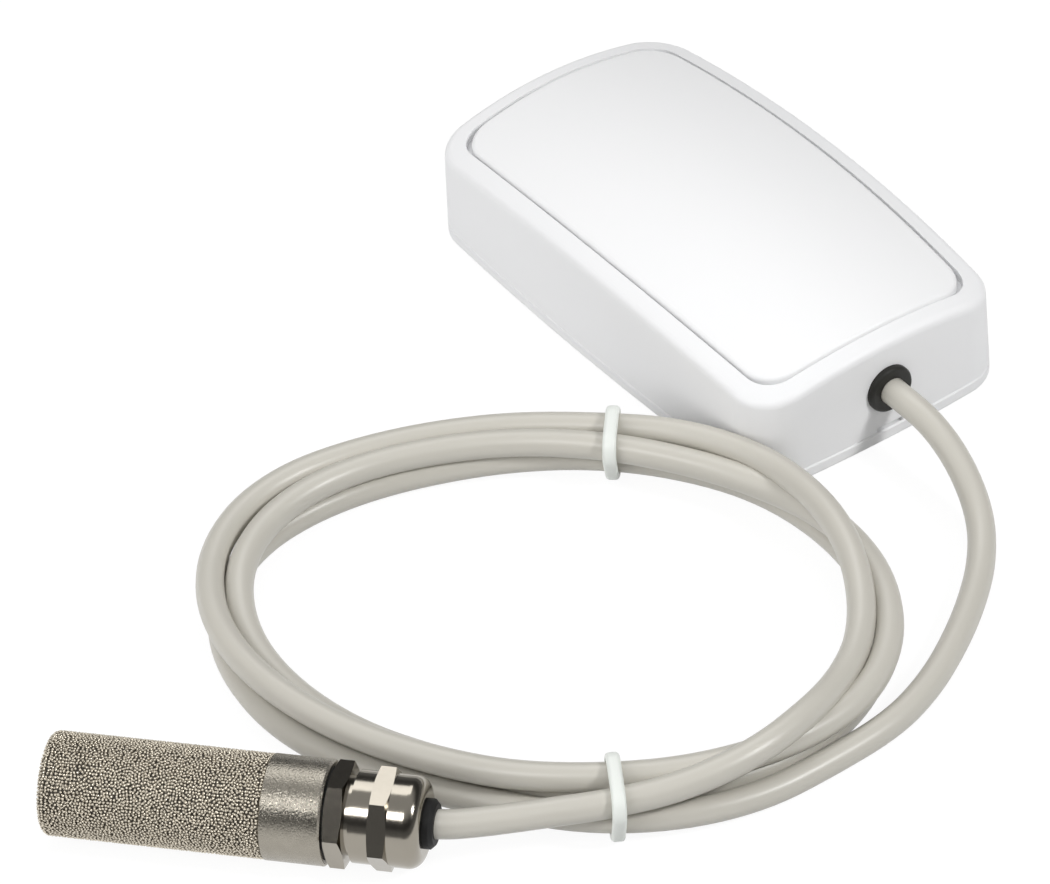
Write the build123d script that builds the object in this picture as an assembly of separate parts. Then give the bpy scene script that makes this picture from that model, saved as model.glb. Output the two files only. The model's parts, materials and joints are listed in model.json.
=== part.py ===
from build123d import *
import os
from math import cos, pi, radians, sin, sqrt, tan

# A wireless temperature and humidity logger: a domed case with its board and cell, and a cabled
# probe with a porous metal cap. The frame's origin is the middle of the case's underside, +Z is up,
# and the cable leaves the case at its -Y end. All sizes are in millimetres.

# Case
CASE_LENGTH = 92.0
CASE_WIDTH = 51.0
CASE_HEIGHT = 23.0
SIDE_BOW = 1.5
END_BOW = 1.0
CORNER_RADIUS = 8.0
CROWN_ACROSS = 82.0
CROWN_ALONG = 280.0
SHOULDER_RADIUS = 1.5
SIDE_DRAFT = 1.0
WALL = 2.0
CEILING = 1.8
SEAM_HEIGHT = 2.4
SEAM_BEVEL = 0.25
FOOT_ROUND = 0.8
BASE_FLOOR = 2.0

# Front panel and its recess
RIM_WIDTH = 3.2
RECESS_DEPTH = 1.6
RECESS_CORNER = 5.2
PANEL_GAP = 0.45
PANEL_CORNER = 6.3
PANEL_PROUD = 0.2
PANEL_EDGE = 0.8

# Lip of the base, its snap ridges and the slot for prying the case open
LIP_GAP = 0.2
LIP_WALL = 1.2
LIP_HEIGHT = 4.0
SNAP_RADIUS = 0.6
SNAP_LENGTH = 10.0
SNAP_SPACING = 44.0
SNAP_BELOW_TOP = 1.2
SNAP_GAP = 0.12
PRY_WIDTH = 5.0
PRY_HEIGHT = 1.0
PRY_DEPTH = 1.0

# Cable and grommet
CABLE_DIAMETER = 4.5
CABLE_BELOW_TOP = 12.5
CABLE_INSIDE = 6.0
GROMMET_DIAMETER = 8.2
GROMMET_NECK = 6.4
GROMMET_FLANGE = 0.9
GROMMET_ROUND = 0.6
STOP_WALL = 1.0
STOP_WIDTH = 2.0
STOP_HEAD = 4.0
CORE_DIAMETER = 1.0
CORE_SPREAD = 0.6
CORE_STRAIGHT = 1.5
CORE_RUN = 7.0

# Main board, its posts and screws
BOARD_SIDE_GAP = 0.6
BOARD_END_GAP = 1.6
BOARD_THICKNESS = 1.6
BOARD_CORNER = 4.0
BOARD_HOLE_INSET = 3.6
POST_HEIGHT = 1.8
POST_DIAMETER = 5.0
SCREW_DIAMETER = 2.0
SCREW_LENGTH = 3.2
SCREW_HEAD = 3.8
SCREW_HEAD_HEIGHT = 1.4
SCREW_SLOT = 0.5

# Coin cell, its holder and contacts
CELL_DIAMETER = 24.5
CELL_THICKNESS = 5.0
CELL_EDGE = 0.4
CELL_GAP = 0.2
HOLDER_FLOOR = 1.0
HOLDER_WALL = 1.4
HOLDER_HEIGHT = 5.0
HOLDER_MOUTH = 10.0
HOLDER_END_GAP = 1.5
CONTACT_SHEET = 0.3
CONTACT_DIAMETER = 8.0
CLIP_WIDTH = 6.0

# Radio, antenna and chips
PIECE_GAP = 1.0
RADIO_EDGE = 3.5
RADIO_WIDTH = 20.0
RADIO_LENGTH = 12.0
RADIO_THICKNESS = 0.8
SHIELD_WIDTH = 14.0
SHIELD_INSET = 0.8
SHIELD_HEIGHT = 2.2
SHIELD_WALL = 0.3
ANTENNA_EDGE = 0.8
ANTENNA_SPAN = 11.0
ANTENNA_HEIGHT = 5.0
ANTENNA_WIDTH = 1.6
ANTENNA_SHEET = 0.5
FEED_OFFSET = 3.0
CHIP_EDGE = 2.5
CONTROLLER_SIZE = 7.0
CONTROLLER_LEGS = 8
MEMORY_LENGTH = 5.0
MEMORY_WIDTH = 4.0
MEMORY_LEGS = 4
CHIP_HEIGHT = 1.5
CHIP_STANDOFF = 0.1
LEG_WIDTH = 0.3
LEG_SHEET = 0.15
LEG_REACH = 1.0
CRYSTAL_LENGTH = 5.0
CRYSTAL_WIDTH = 2.4
CRYSTAL_HEIGHT = 1.2
CAPACITOR_DIAMETER = 6.3
CAPACITOR_HEIGHT = 5.4
CAPACITOR_BASE = 0.8
CAPACITOR_WAIST = 0.35

# Socket and plug of the probe's cable
SOCKET_WIDTH = 12.4
SOCKET_DEPTH = 7.0
SOCKET_HEIGHT = 5.4
SOCKET_WALL = 0.8
PLUG_PROUD = 1.4
PIN_COUNT = 4
PIN_PITCH = 2.5
PIN_SIZE = 0.6
PIN_LENGTH = 3.4

# Probe, measured along its axis from the tip of its porous cap
PROBE_TURN = -48.2
PROBE_RADIUS = 8.0
FILTER_LENGTH = 34.0
FILTER_WALL = 1.8
FILTER_ROUND = 0.8
FILTER_INNER_ROUND = 0.6
COLLAR_LENGTH = 9.45
COLLAR_BEVEL = 0.3
SPIGOT_LENGTH = 6.0
COLLAR_BORE = 9.0
GASKET_THICKNESS = 0.25
GASKET_RADIUS = 7.0
GLAND_FLATS = 14.0
GLAND_THREAD = 12.0
GLAND_THREAD_LENGTH = 7.0
GLAND_BORE = 7.0
BODY_HEX_LENGTH = 2.8
NECK_LENGTH = 1.0
BODY_HEX_TURN = -10.8
NUT_HEX_TURN = 3.0
HEX_BEVEL = 15.0
NUT_SKIRT_LENGTH = 2.9
NUT_HEX_LENGTH = 2.9
NUT_DOME_LENGTH = 4.7
NUT_RADIUS = 7.0
NUT_DOME_ROUND = 2.2
NUT_MOUTH = 7.6
NUT_FACE = 1.4
SEAL_PROUD = 1.5
SEAL_LENGTH = 7.0
SEAL_BEVEL = 0.6
TAIL_INSIDE = 8.8
TAIL_STRAIGHT = 1.0
PROBE_BOARD_LENGTH = 29.0
PROBE_BOARD_WIDTH = 7.2
PROBE_BOARD_THICKNESS = 1.0
PROBE_BOARD_OVERHANG = 4.0
SENSOR_SIZE = 3.0
SENSOR_HEIGHT = 1.1
SENSOR_PORT = 1.2
SENSOR_INSET = 1.5

# Coil of cable and its ties, placed from the point where the cable leaves the case
COIL_OFFSET = (-69.1, -4.1)
COIL_TURN = -58.3
COIL_HALF_LENGTH = 51.5
COIL_HALF_WIDTH = 40.1
COIL_BUNDLE_WIDTH = 10.4
COIL_BUNDLE_HEIGHT = 9.8
COIL_BUNDLE_ROUND = 4.0
TIE_THICKNESS = 1.4
TIE_WIDTH = 2.1
TIE_ROUND = 0.7
TIE_REAR_ANGLE = 97.0
TIE_FRONT_ANGLE = -63.0

# Route of the cable, in steps from its exit: across, out from the case, and height above the floor
CABLE_HEIGHT = CASE_HEIGHT - CABLE_BELOW_TOP
FLOOR_LEVEL = CABLE_DIAMETER / 2
LEAD_POINTS = [
    (0.0, -1.0, CABLE_HEIGHT),
    (-0.2, -10.5, CABLE_HEIGHT - 1.3),
    (-1.2, -19.0, 6.0),
    (-4.0, -26.8, 3.3),
    (-9.0, -33.8, FLOOR_LEVEL + 0.1),
    (-15.8, -39.9, FLOOR_LEVEL),
    (-23.8, -45.5, FLOOR_LEVEL),
    (-32.8, -50.6, FLOOR_LEVEL),
    (-42.4, -53.6, FLOOR_LEVEL + 0.4),
    (-52.0, -53.2, FLOOR_LEVEL + 1.6),
    (-61.0, -50.4, FLOOR_LEVEL + 3.0),
]
TAIL_POINTS = [
    (-87.9, -42.8, 8.3),
    (-95.5, -42.8, 8.2),
    (-103.0, -40.6, 8.1),
]
PROBE_TIP_OFFSET = (-151.37, 9.61)

EXIT_Y = -CASE_LENGTH / 2
CABLE_END_Y = EXIT_Y + CABLE_INSIDE
GROMMET_INNER_Y = EXIT_Y + WALL + GROMMET_FLANGE
LIP_INSET = WALL + LIP_GAP
FLOOR_INSET = LIP_INSET + LIP_WALL
BOARD_WIDTH = CASE_WIDTH - 2 * (SIDE_BOW + FLOOR_INSET + BOARD_SIDE_GAP)
BOARD_LENGTH = CASE_LENGTH - 2 * (END_BOW + FLOOR_INSET + BOARD_END_GAP)
BOARD_BOTTOM = BASE_FLOOR + POST_HEIGHT
BOARD_TOP = BOARD_BOTTOM + BOARD_THICKNESS


def bowed_outline(inset, corner):
    """The case's outline moved inwards: a rectangle with bulging sides and round corners."""
    x = CASE_WIDTH / 2 - inset
    y = CASE_LENGTH / 2 - inset
    corner_x = x - SIDE_BOW
    corner_y = y - END_BOW
    sides = [
        ThreePointArc((corner_x, -corner_y), (x, 0), (corner_x, corner_y)),
        ThreePointArc((corner_x, corner_y), (0, y), (-corner_x, corner_y)),
        ThreePointArc((-corner_x, corner_y), (-x, 0), (-corner_x, -corner_y)),
        ThreePointArc((-corner_x, -corner_y), (0, -y), (corner_x, -corner_y)),
    ]
    face = make_face(Curve() + sides)
    return fillet(face.vertices(), corner)


def side_x(y, inset):
    """Distance of the bowed long side from the middle, at y."""
    half = CASE_LENGTH / 2 - END_BOW
    radius = (half**2 + SIDE_BOW**2) / (2 * SIDE_BOW)
    return CASE_WIDTH / 2 - inset - radius + sqrt(radius**2 - y**2)


def crown(depth):
    """A barrel lying along Y whose top is the case's domed crown, lowered by depth."""
    across = CROWN_ACROSS - depth
    along = CROWN_ALONG - depth
    half = CASE_LENGTH * 0.6
    end = across - along + sqrt(along**2 - half**2)
    rim = ThreePointArc((-half, end), (0, across), (half, end))
    ends = Polyline((half, end), (half, 0), (-half, 0), (-half, end))
    barrel = revolve(make_face(Curve() + [rim, ends]), Axis.X)
    return Pos(0, 0, CASE_HEIGHT - CROWN_ACROSS) * Rot(0, 0, 90) * barrel


def case_prism(inset, corner):
    """The drafted block above the seam that the cover, its cavity and its recess are cut from."""
    draft = CASE_HEIGHT * tan(radians(SIDE_DRAFT))
    bottom = Pos(0, 0, SEAM_HEIGHT) * bowed_outline(inset, corner)
    top = Pos(0, 0, SEAM_HEIGHT + CASE_HEIGHT) * bowed_outline(inset + draft, corner)
    return loft([bottom, top], ruled=True)


def rod_y(diameter, start, end, x=0.0, z=0.0):
    """A round bar along Y."""
    bar = Cylinder(diameter / 2, end - start, align=(Align.CENTER, Align.CENTER, Align.MIN))
    return Pos(x, start, z) * Rot(-90, 0, 0) * bar


def block(size_x, size_y, size_z, x, y, z):
    """A box standing on z with its middle at x and y."""
    return Pos(x, y, z) * Box(size_x, size_y, size_z, align=(Align.CENTER, Align.CENTER, Align.MIN))


def snap_bars(radius, length):
    """The four round bars along the long sides: ridges on the lip, grooves in the cover."""
    z = SEAM_HEIGHT + LIP_HEIGHT - SNAP_BELOW_TOP
    bars = []
    for y in (-SNAP_SPACING / 2, SNAP_SPACING / 2):
        x = side_x(y, LIP_INSET)
        for side in (-x, x):
            bars.append(rod_y(2 * radius, y - length / 2, y + length / 2, side, z))
    return bars


def seam_bevel():
    """The lowest slice of the cover's block, which widens upwards from the seam."""
    bottom = Pos(0, 0, SEAM_HEIGHT) * bowed_outline(SEAM_BEVEL, CORNER_RADIUS - SEAM_BEVEL)
    top = Pos(0, 0, SEAM_HEIGHT + SEAM_BEVEL) * bowed_outline(0, CORNER_RADIUS)
    return loft([bottom, top], ruled=True)


def cover_cavity():
    return case_prism(WALL, CORNER_RADIUS - WALL) & crown(RECESS_DEPTH + CEILING)


def make_top_cover():
    body = case_prism(0, CORNER_RADIUS) & crown(0)
    body = fillet(body.faces().sort_by(Axis.Z)[-1].edges(), SHOULDER_RADIUS)
    recess = case_prism(RIM_WIDTH, RECESS_CORNER) - crown(RECESS_DEPTH)
    cover = body - cover_cavity() - recess
    slab = block(2 * CASE_WIDTH, 2 * CASE_LENGTH, SEAM_BEVEL, 0, 0, SEAM_HEIGHT)
    cover -= slab - seam_bevel()
    cover -= block(PRY_WIDTH, 2 * PRY_DEPTH, PRY_HEIGHT, 0, EXIT_Y, SEAM_HEIGHT)
    cover -= rod_y(GROMMET_NECK, EXIT_Y - WALL, EXIT_Y + 2 * WALL, 0, CABLE_HEIGHT)
    for groove in snap_bars(SNAP_RADIUS + SNAP_GAP, SNAP_LENGTH + 2 * SNAP_GAP):
        cover -= groove
    return cover


def make_front_panel():
    plate = case_prism(RIM_WIDTH + PANEL_GAP, PANEL_CORNER) & crown(-PANEL_PROUD)
    plate -= crown(RECESS_DEPTH)
    return fillet(plate.faces().sort_by(Axis.Z)[-1].edges(), PANEL_EDGE)


def post_places():
    x = BOARD_WIDTH / 2 - BOARD_HOLE_INSET
    y = BOARD_LENGTH / 2 - BOARD_HOLE_INSET
    return [(-x, -y), (x, -y), (-x, y), (x, y)]


def make_base_shell():
    plate = extrude(bowed_outline(0, CORNER_RADIUS), SEAM_HEIGHT)
    plate = fillet(plate.faces().sort_by(Axis.Z)[0].edges(), FOOT_ROUND)
    plate = chamfer(plate.faces().sort_by(Axis.Z)[-1].edges(), SEAM_BEVEL)
    rise = LIP_HEIGHT + SEAM_HEIGHT - BASE_FLOOR
    outside = extrude(bowed_outline(LIP_INSET, CORNER_RADIUS - LIP_INSET), rise)
    inside = extrude(bowed_outline(FLOOR_INSET, CORNER_RADIUS - FLOOR_INSET), CASE_HEIGHT)
    base = plate + Pos(0, 0, BASE_FLOOR) * outside
    for ridge in snap_bars(SNAP_RADIUS, SNAP_LENGTH):
        base += ridge
    base -= Pos(0, 0, BASE_FLOOR) * inside
    notch_width = GROMMET_DIAMETER + 2 * LIP_GAP
    base -= block(notch_width, 2 * FLOOR_INSET, CASE_HEIGHT, 0, EXIT_Y + FLOOR_INSET, SEAM_HEIGHT)
    for x, y in post_places():
        post = Cylinder(POST_DIAMETER / 2, POST_HEIGHT, align=(Align.CENTER, Align.CENTER, Align.MIN))
        base += Pos(x, y, BASE_FLOOR) * post
    for x, y in post_places():
        hole = Cylinder(SCREW_DIAMETER / 2, SCREW_LENGTH, align=(Align.CENTER, Align.CENTER, Align.MAX))
        base -= Pos(x, y, BOARD_TOP) * hole
    return base


def make_grommet(cover):
    flange = rod_y(GROMMET_DIAMETER, EXIT_Y - GROMMET_FLANGE, EXIT_Y + WALL, 0, CABLE_HEIGHT)
    flange = fillet(flange.edges().sort_by(Axis.Y)[0], GROMMET_ROUND)
    flange -= case_prism(0, CORNER_RADIUS)
    neck = rod_y(GROMMET_NECK, EXIT_Y - GROMMET_FLANGE / 2, GROMMET_INNER_Y, 0, CABLE_HEIGHT)
    keeper = rod_y(GROMMET_DIAMETER, EXIT_Y, GROMMET_INNER_Y, 0, CABLE_HEIGHT) & cover_cavity()
    bore = rod_y(CABLE_DIAMETER, EXIT_Y - 2 * WALL, GROMMET_INNER_Y + WALL, 0, CABLE_HEIGHT)
    return flange + neck + keeper - cover - bore


def make_cable_stop():
    end = GROMMET_INNER_Y + STOP_WIDTH
    outer = CABLE_DIAMETER + 2 * STOP_WALL
    ring = rod_y(outer, GROMMET_INNER_Y, end, 0, CABLE_HEIGHT)
    head_z = CABLE_HEIGHT - STOP_HEAD / 2
    ring += block(STOP_HEAD, STOP_WIDTH, STOP_HEAD, outer / 2, (GROMMET_INNER_Y + end) / 2, head_z)
    return ring - rod_y(CABLE_DIAMETER, GROMMET_INNER_Y - WALL, end + WALL, 0, CABLE_HEIGHT)


def make_main_board():
    board = extrude(RectangleRounded(BOARD_WIDTH, BOARD_LENGTH, BOARD_CORNER), BOARD_THICKNESS)
    for x, y in post_places():
        board -= Pos(x, y, 0) * Cylinder(SCREW_DIAMETER / 2, 4 * BOARD_THICKNESS)
    return Pos(0, 0, BOARD_BOTTOM) * board


def make_board_screws():
    bottom = (Align.CENTER, Align.CENTER, Align.MIN)
    screw = Cylinder(SCREW_HEAD / 2, SCREW_HEAD_HEIGHT, align=bottom)
    screw = fillet(screw.edges().sort_by(Axis.Z)[-1], SCREW_HEAD_HEIGHT / 3)
    slot_floor = SCREW_HEAD_HEIGHT - SCREW_SLOT
    screw -= block(2 * SCREW_HEAD, SCREW_SLOT, SCREW_HEAD_HEIGHT, 0, 0, slot_floor)
    screw += Cylinder(SCREW_DIAMETER / 2, SCREW_LENGTH, align=(Align.CENTER, Align.CENTER, Align.MAX))
    return [Pos(x, y, BOARD_TOP) * screw for x, y in post_places()]


HOLDER_RADIUS = CELL_DIAMETER / 2 + CELL_GAP + HOLDER_WALL
HOLDER_Y = BOARD_LENGTH / 2 - HOLDER_END_GAP - HOLDER_RADIUS
CELL_BOTTOM = BOARD_TOP + HOLDER_FLOOR
CELL_TOP = CELL_BOTTOM + CELL_THICKNESS


def disc(diameter, thickness, z):
    """A round plate standing on z in the middle of the cell's holder."""
    plate = Cylinder(diameter / 2, thickness, align=(Align.CENTER, Align.CENTER, Align.MIN))
    return Pos(0, HOLDER_Y, z) * plate


def make_coin_cell():
    cell = disc(CELL_DIAMETER, CELL_THICKNESS, CELL_BOTTOM)
    return fillet(cell.edges().filter_by(GeomType.CIRCLE), CELL_EDGE)


def make_battery_holder():
    """A round tray with a gap in its wall, through which the cell is pushed out."""
    holder = disc(2 * HOLDER_RADIUS, HOLDER_HEIGHT, BOARD_TOP)
    holder -= disc(CELL_DIAMETER + 2 * CELL_GAP, HOLDER_HEIGHT, CELL_BOTTOM)
    holder -= disc(CONTACT_DIAMETER, HOLDER_FLOOR, BOARD_TOP)
    mouth_y = HOLDER_Y - HOLDER_RADIUS
    return holder - block(HOLDER_MOUTH, HOLDER_RADIUS, HOLDER_HEIGHT, 0, mouth_y, CELL_BOTTOM)


def make_contacts():
    """A clip that arches over the cell from both sides of the holder, and a disc under the cell."""
    span = 2 * (HOLDER_RADIUS + CONTACT_SHEET)
    rise = CELL_TOP - BOARD_TOP
    clip = block(span, CLIP_WIDTH, rise + CONTACT_SHEET, 0, HOLDER_Y, BOARD_TOP)
    clip -= block(2 * HOLDER_RADIUS, 2 * CLIP_WIDTH, rise, 0, HOLDER_Y, BOARD_TOP)
    return clip, disc(CONTACT_DIAMETER, HOLDER_FLOOR, BOARD_TOP)


RADIO_X = RADIO_EDGE + RADIO_WIDTH / 2 - BOARD_WIDTH / 2
RADIO_Y = HOLDER_Y - HOLDER_RADIUS - PIECE_GAP - RADIO_LENGTH / 2


def make_radio():
    module = block(RADIO_WIDTH, RADIO_LENGTH, RADIO_THICKNESS, RADIO_X, RADIO_Y, BOARD_TOP)
    top = BOARD_TOP + RADIO_THICKNESS
    length = RADIO_LENGTH - 2 * SHIELD_INSET
    x = RADIO_X + (RADIO_WIDTH - SHIELD_WIDTH) / 2 - SHIELD_INSET
    shield = block(SHIELD_WIDTH, length, SHIELD_HEIGHT, x, RADIO_Y, top)
    shield = fillet(shield.edges().filter_by(Axis.Z) + shield.edges().group_by(Axis.Z)[-1], SHIELD_WALL)
    inner_width = SHIELD_WIDTH - 2 * SHIELD_WALL
    inner_length = length - 2 * SHIELD_WALL
    shield -= block(inner_width, inner_length, SHIELD_HEIGHT - SHIELD_WALL, x, RADIO_Y, top)
    return module, shield


def make_antenna():
    """Stamped inverted-F strip: one long arm, a shorting leg at its end and a feed leg beside it."""
    x = ANTENNA_EDGE + ANTENNA_WIDTH / 2 - BOARD_WIDTH / 2
    end = RADIO_Y - ANTENNA_SPAN / 2
    arm_z = BOARD_TOP + ANTENNA_HEIGHT - ANTENNA_SHEET
    strip = block(ANTENNA_WIDTH, ANTENNA_SPAN, ANTENNA_SHEET, x, RADIO_Y, arm_z)
    for y in (end + ANTENNA_SHEET / 2, end + FEED_OFFSET):
        strip += block(ANTENNA_WIDTH, ANTENNA_SHEET, ANTENNA_HEIGHT, x, y, BOARD_TOP)
    return strip


PLUG_BACK_Y = CABLE_END_Y + CORE_RUN
SOCKET_MOUTH_Y = PLUG_BACK_Y + PLUG_PROUD
SOCKET_Y = SOCKET_MOUTH_Y + SOCKET_DEPTH / 2
PLUG_Z = BOARD_TOP + SOCKET_HEIGHT / 2
CHIP_X = BOARD_WIDTH / 2 - CHIP_EDGE - LEG_REACH - CONTROLLER_SIZE / 2
MEMORY_Y = SOCKET_MOUTH_Y + SOCKET_DEPTH + PIECE_GAP + MEMORY_LENGTH / 2
CRYSTAL_Y = MEMORY_Y + MEMORY_LENGTH / 2 + PIECE_GAP + CRYSTAL_WIDTH / 2
CONTROLLER_Y = CRYSTAL_Y + CRYSTAL_WIDTH / 2 + PIECE_GAP + LEG_REACH + CONTROLLER_SIZE / 2


def chip_leg(x):
    """Gull-wing leg that leaves a chip's +X side at x and ends flat on the board."""
    knee = x + LEG_REACH / 3
    foot = x + LEG_REACH
    shoulder = CHIP_HEIGHT / 2
    side = Polyline(
        (x, shoulder),
        (knee, shoulder),
        (knee + LEG_SHEET, LEG_SHEET),
        (foot, LEG_SHEET),
        (foot, 0),
        (knee, 0),
        (knee - LEG_SHEET, shoulder - LEG_SHEET),
        (x, shoulder - LEG_SHEET),
        close=True,
    )
    return extrude(Plane.XZ * make_face(side), LEG_WIDTH / 2, both=True)


def make_chip(width, length, legs, turns, y):
    """A chip with a row of legs on each side that a turn of its +X row reaches."""
    chip = block(width, length, CHIP_HEIGHT - CHIP_STANDOFF, 0, 0, CHIP_STANDOFF)
    pitch = length / (legs + 0.5)
    for turn in turns:
        for number in range(legs):
            place = (number - (legs - 1) / 2) * pitch
            chip += Rot(0, 0, turn) * Pos(0, place, 0) * chip_leg(width / 2)
    return Pos(CHIP_X, y, BOARD_TOP) * chip


def make_controller():
    turns = (0, 90, 180, 270)
    return make_chip(CONTROLLER_SIZE, CONTROLLER_SIZE, CONTROLLER_LEGS, turns, CONTROLLER_Y)


def make_crystal():
    can = block(CRYSTAL_WIDTH, CRYSTAL_LENGTH, CRYSTAL_HEIGHT, 0, 0, 0)
    can = fillet(can.edges().filter_by(Axis.Z), CRYSTAL_WIDTH / 4)
    return Pos(CHIP_X, CRYSTAL_Y, BOARD_TOP) * Rot(0, 0, 90) * can


def make_capacitor():
    radius = CAPACITOR_DIAMETER / 2
    waist = radius - CAPACITOR_WAIST
    side = CAPACITOR_DIAMETER + 2 * CAPACITOR_WAIST
    groove = CAPACITOR_BASE + 3 * CAPACITOR_WAIST
    outline = Polyline(
        (0, CAPACITOR_BASE),
        (radius, CAPACITOR_BASE),
        (radius, groove),
        (waist, groove + CAPACITOR_WAIST),
        (radius, groove + 2 * CAPACITOR_WAIST),
        (radius, CAPACITOR_HEIGHT - CAPACITOR_WAIST),
        (waist, CAPACITOR_HEIGHT),
        (0, CAPACITOR_HEIGHT),
        close=True,
    )
    can = revolve(Plane.XZ * make_face(outline), Axis.Z)
    can += block(side, side, CAPACITOR_BASE, 0, 0, 0)
    x = -SOCKET_WIDTH / 2 - PIECE_GAP - side / 2
    return Pos(x, SOCKET_Y, BOARD_TOP) * can


def pin_places():
    return [(number - (PIN_COUNT - 1) / 2) * PIN_PITCH for number in range(PIN_COUNT)]


def make_socket_and_plug():
    """Side-entry socket on the board, open towards the cable, and the plug that fills it."""
    socket = block(SOCKET_WIDTH, SOCKET_DEPTH, SOCKET_HEIGHT, 0, SOCKET_Y, BOARD_TOP)
    depth = SOCKET_DEPTH - SOCKET_WALL
    width = SOCKET_WIDTH - 2 * SOCKET_WALL
    height = SOCKET_HEIGHT - 2 * SOCKET_WALL
    cavity = block(width, depth, height, 0, SOCKET_MOUTH_Y + depth / 2, BOARD_TOP + SOCKET_WALL)
    plug_length = depth + PLUG_PROUD
    plug_y = SOCKET_MOUTH_Y + depth - plug_length / 2
    plug = block(width, plug_length, height, 0, plug_y, BOARD_TOP + SOCKET_WALL)
    socket -= cavity
    for x in pin_places():
        back = SOCKET_MOUTH_Y + depth
        pin = block(PIN_SIZE, PIN_LENGTH, PIN_SIZE, x, back - PIN_LENGTH / 2, PLUG_Z - PIN_SIZE / 2)
        socket += pin
        plug -= pin
    return socket, plug


def make_inner_cores():
    """The four cores, each bent from the end of the cable down to its place in the plug."""
    cores = []
    for number, x in enumerate(pin_places()):
        start_x = CORE_SPREAD if number > 1 else -CORE_SPREAD
        start_z = CABLE_HEIGHT + (CORE_SPREAD if number in (0, 3) else -CORE_SPREAD)
        route = FilletPolyline(
            (start_x, CABLE_END_Y, start_z),
            (start_x, CABLE_END_Y + CORE_STRAIGHT, start_z),
            (x, PLUG_BACK_Y - CORE_STRAIGHT, PLUG_Z),
            (x, PLUG_BACK_Y, PLUG_Z),
            radius=CORE_STRAIGHT / 2,
        )
        section = Plane(origin=route @ 0, z_dir=route % 0) * Circle(CORE_DIAMETER / 2)
        cores.append(sweep(section, path=route))
    return cores


FILTER_INNER = PROBE_RADIUS - FILTER_WALL
COLLAR_END = FILTER_LENGTH + COLLAR_LENGTH
GLAND_FACE = COLLAR_END + GASKET_THICKNESS
BODY_HEX_END = GLAND_FACE + BODY_HEX_LENGTH
NUT_START = BODY_HEX_END + NECK_LENGTH
NUT_HEX_START = NUT_START + NUT_SKIRT_LENGTH
NUT_HEX_END = NUT_HEX_START + NUT_HEX_LENGTH
NUT_END = NUT_HEX_END + NUT_DOME_LENGTH
SEAL_END = NUT_END + SEAL_PROUD
SEAL_START = NUT_END - NUT_FACE - SEAL_LENGTH
THREAD_START = GLAND_FACE - GLAND_THREAD_LENGTH
TAIL_END = SEAL_END - TAIL_INSIDE
PROBE_TIP = (PROBE_TIP_OFFSET[0], EXIT_Y + PROBE_TIP_OFFSET[1])
PROBE_PLACE = Pos(PROBE_TIP[0], PROBE_TIP[1], PROBE_RADIUS) * Rot(0, 0, PROBE_TURN)


def turned(points):
    """A turned piece from its half section, given as distances along the axis and radii."""
    return revolve(make_face(Polyline(*points, close=True)), Axis.X)


def rod_x(diameter, start, end, y=0.0, z=0.0):
    """A round bar along the probe's axis."""
    bar = Cylinder(diameter / 2, end - start, align=(Align.CENTER, Align.CENTER, Align.MIN))
    return Pos(start, y, z) * Rot(0, 90, 0) * bar


def hexagon(start, end, turn):
    """A hexagonal band with its corners turned off at both ends."""
    flat_radius = GLAND_FLATS / 2
    band = extrude(Plane.YZ * RegularPolygon(flat_radius, 6, major_radius=False), end - start)
    corner_radius = flat_radius / cos(pi / 6)
    run = (corner_radius - flat_radius) * tan(radians(HEX_BEVEL))
    rounding = turned([
        (0, 0),
        (0, flat_radius),
        (run, corner_radius),
        (end - start - run, corner_radius),
        (end - start, flat_radius),
        (end - start, 0),
    ])
    return Pos(start, 0, 0) * Rot(turn, 0, 0) * (band & rounding)


def make_sensor_filter():
    cup = rod_x(2 * PROBE_RADIUS, 0, FILTER_LENGTH)
    cup = fillet(cup.edges().filter_by(GeomType.CIRCLE).sort_by(Axis.X)[0], FILTER_ROUND)
    hollow = rod_x(2 * FILTER_INNER, FILTER_WALL, FILTER_LENGTH + FILTER_WALL)
    hollow = fillet(hollow.edges().filter_by(GeomType.CIRCLE).sort_by(Axis.X)[0], FILTER_INNER_ROUND)
    return cup - hollow


def make_probe_collar():
    spigot_start = FILTER_LENGTH - SPIGOT_LENGTH
    bore = COLLAR_BORE / 2
    return turned([
        (spigot_start, bore),
        (spigot_start, FILTER_INNER),
        (FILTER_LENGTH, FILTER_INNER),
        (FILTER_LENGTH, PROBE_RADIUS - COLLAR_BEVEL),
        (FILTER_LENGTH + COLLAR_BEVEL, PROBE_RADIUS),
        (COLLAR_END - COLLAR_BEVEL, PROBE_RADIUS),
        (COLLAR_END, PROBE_RADIUS - COLLAR_BEVEL),
        (COLLAR_END, GLAND_THREAD / 2),
        (THREAD_START, GLAND_THREAD / 2),
        (THREAD_START, bore),
    ])


def make_gland_gasket():
    ring = rod_x(2 * GASKET_RADIUS, COLLAR_END, GLAND_FACE)
    return ring - rod_x(GLAND_THREAD, COLLAR_END, GLAND_FACE)


def make_gland_body():
    thread_end = SEAL_START + NUT_FACE
    body = rod_x(GLAND_THREAD, THREAD_START, thread_end) + hexagon(GLAND_FACE, BODY_HEX_END, BODY_HEX_TURN)
    body -= rod_x(CABLE_DIAMETER, THREAD_START, thread_end)
    body -= rod_x(GLAND_BORE, SEAL_START, thread_end)
    return body - rod_x(COLLAR_BORE, THREAD_START, GLAND_FACE)


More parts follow.
